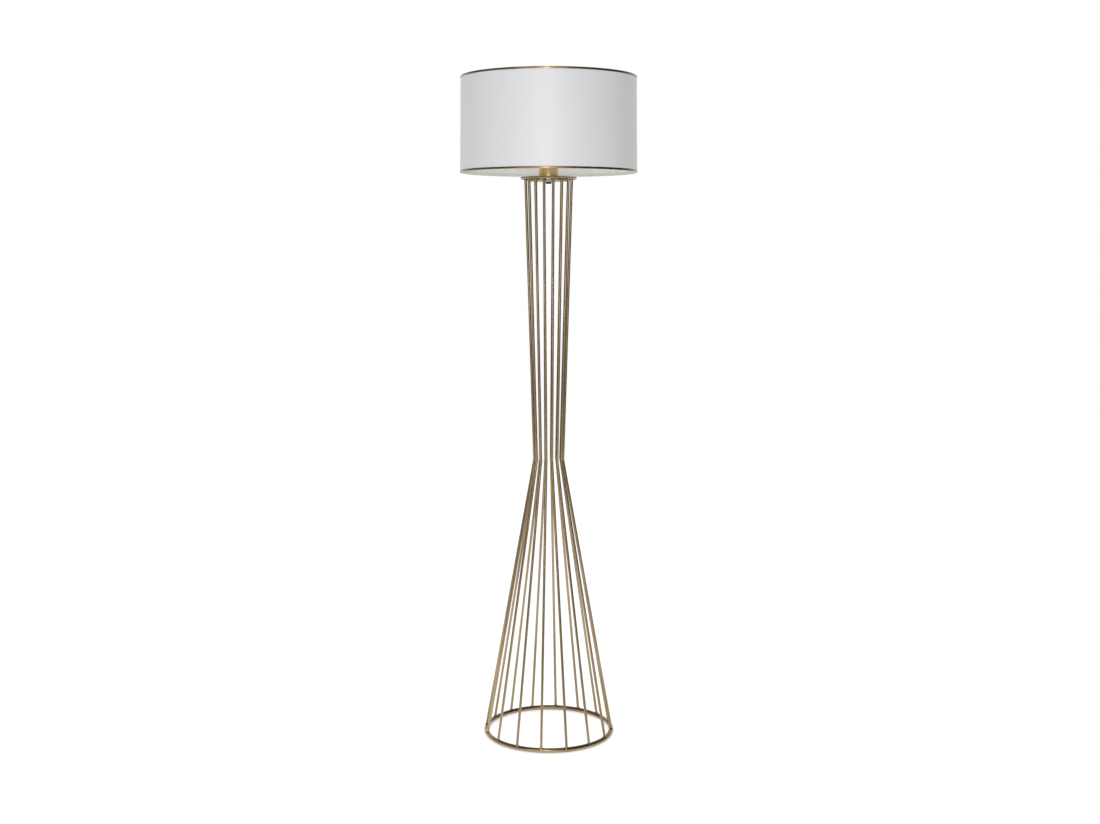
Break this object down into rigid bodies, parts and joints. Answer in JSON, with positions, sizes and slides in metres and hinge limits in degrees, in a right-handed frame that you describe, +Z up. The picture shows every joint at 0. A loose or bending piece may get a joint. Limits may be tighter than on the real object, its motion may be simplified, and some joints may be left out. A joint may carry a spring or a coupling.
{
  "type": "wire cage floor lamp",
  "caption": "Floor lamp with a waisted cage of bent gold wire rods between a base ring and a top cap, carrying a white drum shade with gold edges on a screw lampholder.",
  "frame": {"origin": "on the floor, on the lamp's vertical axis, at the centre of the base ring", "axes": "+Z up along the lamp's axis, -Y towards the front seen in the picture, +X to its right"},
  "size_m": [0.3999, 0.4, 1.5172],
  "materials": {
    "gold_paint": "satin gold-bronze metallic lacquer, fine flake",
    "clear_pad": "clear soft plastic",
    "polished_cup": "polished, lacquered",
    "zinc_steel": "zinc plated",
    "black_bushing": "moulded, fine matte grain",
    "holder_moulding": "moulded white, semi-gloss",
    "contact_ceramic": "unglazed",
    "contact_brass": "bright stamped",
    "white_wire": "white powder coat",
    "shade_cloth": "fine plain weave, laminated",
    "shade_lining": "smooth satin film",
    "gold_tape": "metallic foil tape"
  },
  "bodies": {
    "stand": {"base_ring": "gold_paint", "foot_pad_1": "clear_pad", "foot_pad_2": "clear_pad", "foot_pad_3": "clear_pad", "foot_pad_4": "clear_pad", "cage_rod_01": "gold_paint", "cage_rod_02": "gold_paint", "cage_rod_03": "gold_paint", "cage_rod_04": "gold_paint", "cage_rod_05": "gold_paint", "cage_rod_06": "gold_paint", "cage_rod_07": "gold_paint", "cage_rod_08": "gold_paint", "cage_rod_09": "gold_paint", "cage_rod_10": "gold_paint", "cage_rod_11": "gold_paint", "cage_rod_12": "gold_paint", "cage_rod_13": "gold_paint", "cage_rod_14": "gold_paint", "cage_rod_15": "gold_paint", "cage_rod_16": "gold_paint", "top_cap": "gold_paint", "threaded_nipple": "zinc_steel", "washer": "zinc_steel", "lock_nut": "zinc_steel", "cord_bushing": "black_bushing", "nut_cover": "gold_paint", "lampholder_cup": "polished_cup", "lampholder_cap": "holder_moulding", "contact_carrier": "contact_ceramic", "lampholder_barrel": "holder_moulding", "screw_shell": "contact_brass", "terminal_screws": "zinc_steel", "live_terminal": "contact_brass", "neutral_terminal": "contact_brass", "contact_foot": "contact_brass", "shell_strip": "contact_brass"},
    "contact_leaf": {"centre_contact": "contact_brass"},
    "shade_seat": {"support_ring": "holder_moulding"},
    "shade": {"carrier_ring": "white_wire", "shade_arm_1": "white_wire", "shade_arm_2": "white_wire", "shade_arm_3": "white_wire", "shade_bottom_wire": "white_wire", "shade_top_wire": "white_wire", "shade_fabric": "shade_cloth", "shade_liner": "shade_lining", "bottom_edge_tape": "gold_tape", "top_edge_tape": "gold_tape"},
    "shade_nut": {"retaining_ring": "holder_moulding"}
  },
  "joints": [
    {"name": "contact_press", "type": "hinge", "parent": "stand", "child": "contact_leaf", "pos_m": [-0.0088, 0, 1.3194], "axis": [0, 1, 0], "range_deg": [0, 9], "stiffness_Nm_per_rad": 0.22},
    {"name": "shade_turn", "type": "hinge", "parent": "stand", "child": "shade_seat", "pos_m": [0, 0, 1.3335], "axis": [0, 0, 1], "continuous": true},
    {"name": "shade_lift", "type": "slide", "parent": "shade_seat", "child": "shade", "axis": [0, 0, 1], "range_m": [0, 0.06]},
    {"name": "ring_turn", "type": "hinge", "parent": "shade", "child": "shade_nut", "pos_m": [0, 0, 1.343], "axis": [0, 0, 1], "range_deg": [0, 1080]}
  ]
}
